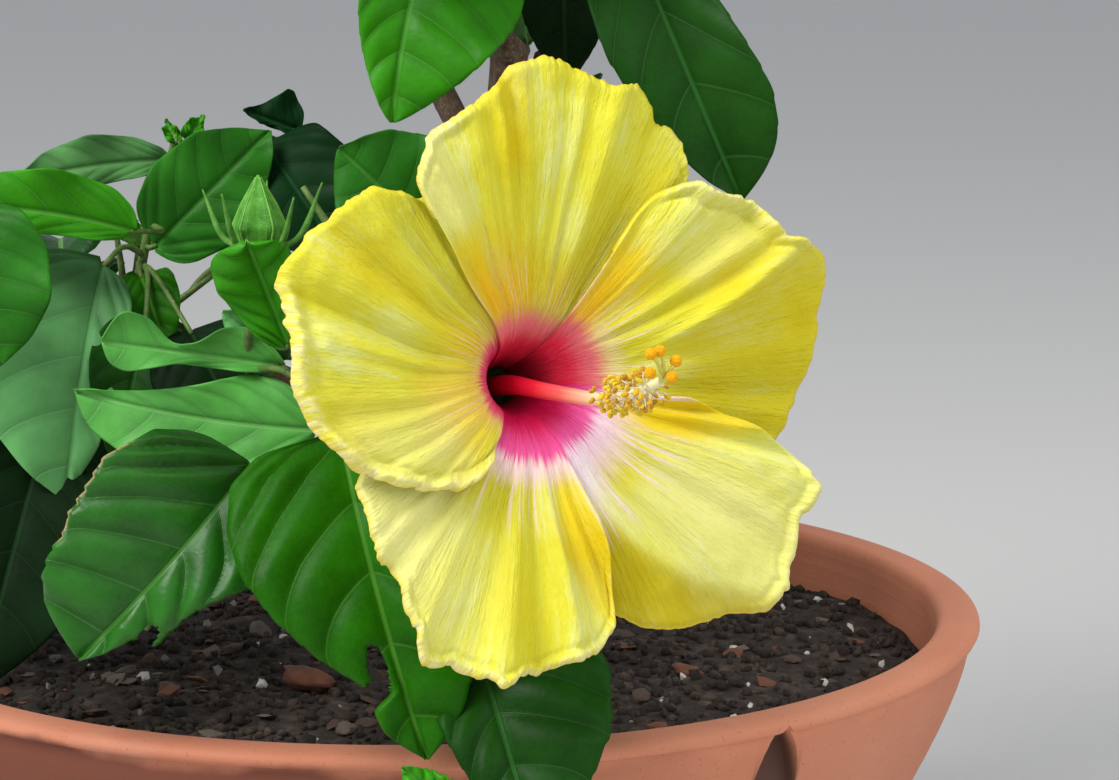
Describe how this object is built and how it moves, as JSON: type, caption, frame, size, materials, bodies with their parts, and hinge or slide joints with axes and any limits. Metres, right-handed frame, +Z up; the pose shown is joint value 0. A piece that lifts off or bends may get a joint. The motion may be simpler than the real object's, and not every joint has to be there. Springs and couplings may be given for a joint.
{
  "type": "potted hibiscus shrub",
  "caption": "Small hibiscus shrub in a round terracotta bowl of soil: woody stem and boughs, masses of toothed leaves, and a large open yellow bloom with a crimson throat at the front.",
  "frame": {"origin": "centre of the bowl's flat underside", "axes": "+Z up, the open bloom faces -Y and a little towards +X"},
  "size_m": [0.4158, 0.4078, 0.5595],
  "materials": {
    "terracotta": "matte",
    "soil": "matte",
    "bark": "matte",
    "green_stem": "satin",
    "leaves": "satin",
    "petals": "matte",
    "calyx": "satin",
    "column": "satin",
    "pollen": "matte",
    "stigma": "matte"
  },
  "bodies": {
    "root": {"bowl": "terracotta", "soil": "soil", "trunk": "bark", "bough_leader": "bark", "bough_front": "bark", "bough_front_left": "green_stem", "bough_under_bloom": "green_stem", "bough_behind_bloom": "green_stem", "bough_left": "bark", "bough_back": "bark", "bough_upper_left": "bark", "bough_upper_right": "bark", "bough_upper_front": "bark", "bough_upper_back": "bark", "bloom_stalk": "green_stem", "leaves_top": "leaves", "leaves_upper_left": "leaves", "leaves_upper_right": "leaves", "leaves_upper_front": "leaves", "leaves_upper_back": "leaves", "leaves_back_low": "leaves", "leaves_left_low": "leaves", "leaves_behind_bloom": "leaves", "leaves_front_left": "leaves", "leaves_under_bloom": "leaves", "petal_top": "petals", "petal_upper_right": "petals", "petal_lower_right": "petals", "petal_bottom": "petals", "petal_left": "petals", "calyx": "calyx", "stamen_column": "column", "anthers": "pollen", "style": "column", "stigmas": "stigma"}
  },
  "joints": []
}
